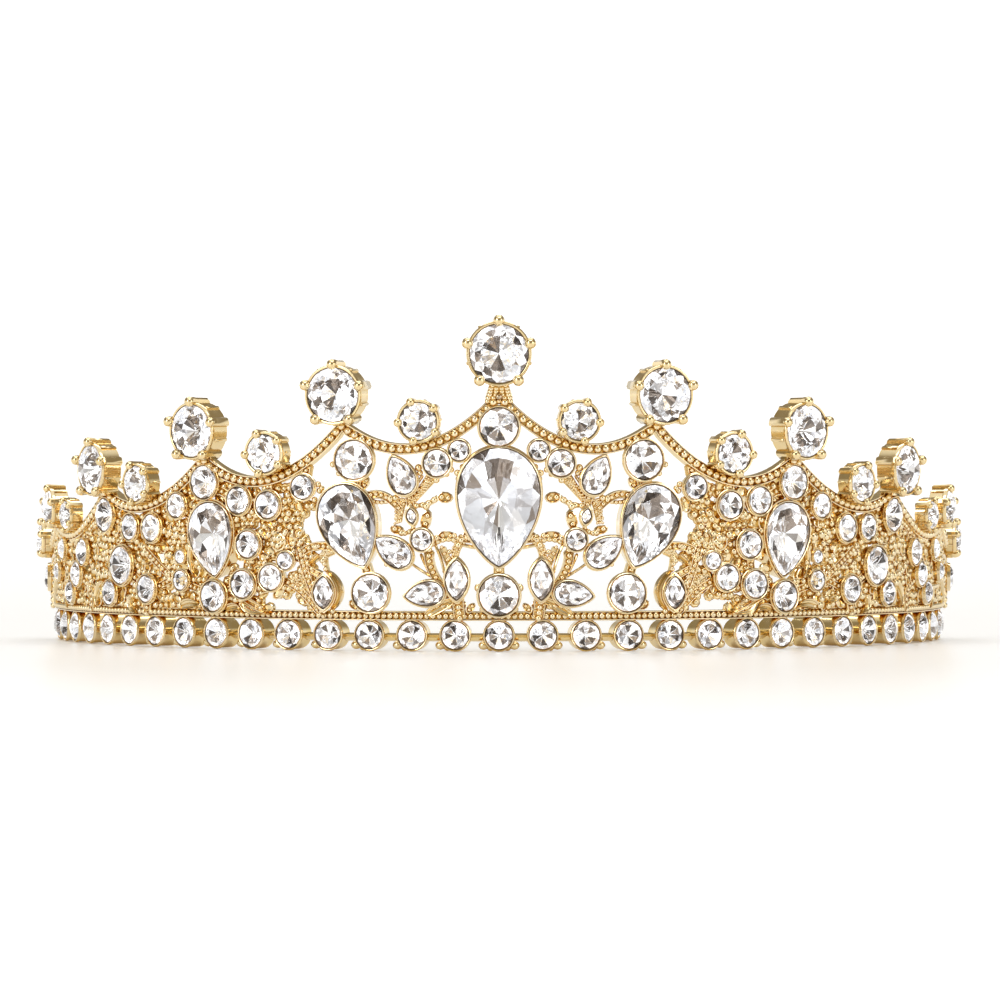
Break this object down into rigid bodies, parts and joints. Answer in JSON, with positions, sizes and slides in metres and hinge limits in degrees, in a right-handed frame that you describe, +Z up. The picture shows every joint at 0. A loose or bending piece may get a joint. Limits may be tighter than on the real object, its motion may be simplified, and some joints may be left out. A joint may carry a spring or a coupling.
{
  "type": "tiara",
  "caption": "Half-round tiara with pierced scroll wall, scalloped beaded rails, pronged round stones on its peaks, pear and small stones, a stone-set band and a pin loop at each end",
  "frame": {"origin": "bottom centre of the bounding box: the plane that the band and both loops rest on", "axes": "+X to the wearer's left as seen from the front, the longest extent and the mirror direction; the front with the tallest peak faces -Y; +Z up, the shortest extent"},
  "size_m": [0.145, 0.1164, 0.0523],
  "materials": {
    "gold_metal": "polished",
    "clear_crystal": "polished"
  },
  "bodies": {
    "root": {"tiara_frame": "gold_metal", "band_stones": "clear_crystal", "wall_stones_left": "clear_crystal", "wall_stones_right": "clear_crystal", "front_pear_stone": "clear_crystal", "crest_round_stone": "clear_crystal", "base_round_stone": "clear_crystal", "front_peak_stone": "clear_crystal", "peak_stone_left_1": "clear_crystal", "peak_stone_left_2": "clear_crystal", "peak_stone_left_3": "clear_crystal", "peak_stone_left_4": "clear_crystal", "peak_stone_left_5": "clear_crystal", "peak_stone_right_1": "clear_crystal", "peak_stone_right_2": "clear_crystal", "peak_stone_right_3": "clear_crystal", "peak_stone_right_4": "clear_crystal", "peak_stone_right_5": "clear_crystal", "small_peak_stone_left_1": "clear_crystal", "small_peak_stone_left_2": "clear_crystal", "small_peak_stone_left_3": "clear_crystal", "small_peak_stone_left_4": "clear_crystal", "small_peak_stone_right_1": "clear_crystal", "small_peak_stone_right_2": "clear_crystal", "small_peak_stone_right_3": "clear_crystal", "small_peak_stone_right_4": "clear_crystal", "side_pear_left_1": "clear_crystal", "side_pear_left_2": "clear_crystal", "side_pear_right_1": "clear_crystal", "side_pear_right_2": "clear_crystal", "round_stone_left_1": "clear_crystal", "round_stone_left_2": "clear_crystal", "round_stone_left_3": "clear_crystal", "round_stone_left_4": "clear_crystal", "round_stone_left_5": "clear_crystal", "round_stone_right_1": "clear_crystal", "round_stone_right_2": "clear_crystal", "round_stone_right_3": "clear_crystal", "round_stone_right_4": "clear_crystal", "round_stone_right_5": "clear_crystal"}
  },
  "joints": []
}
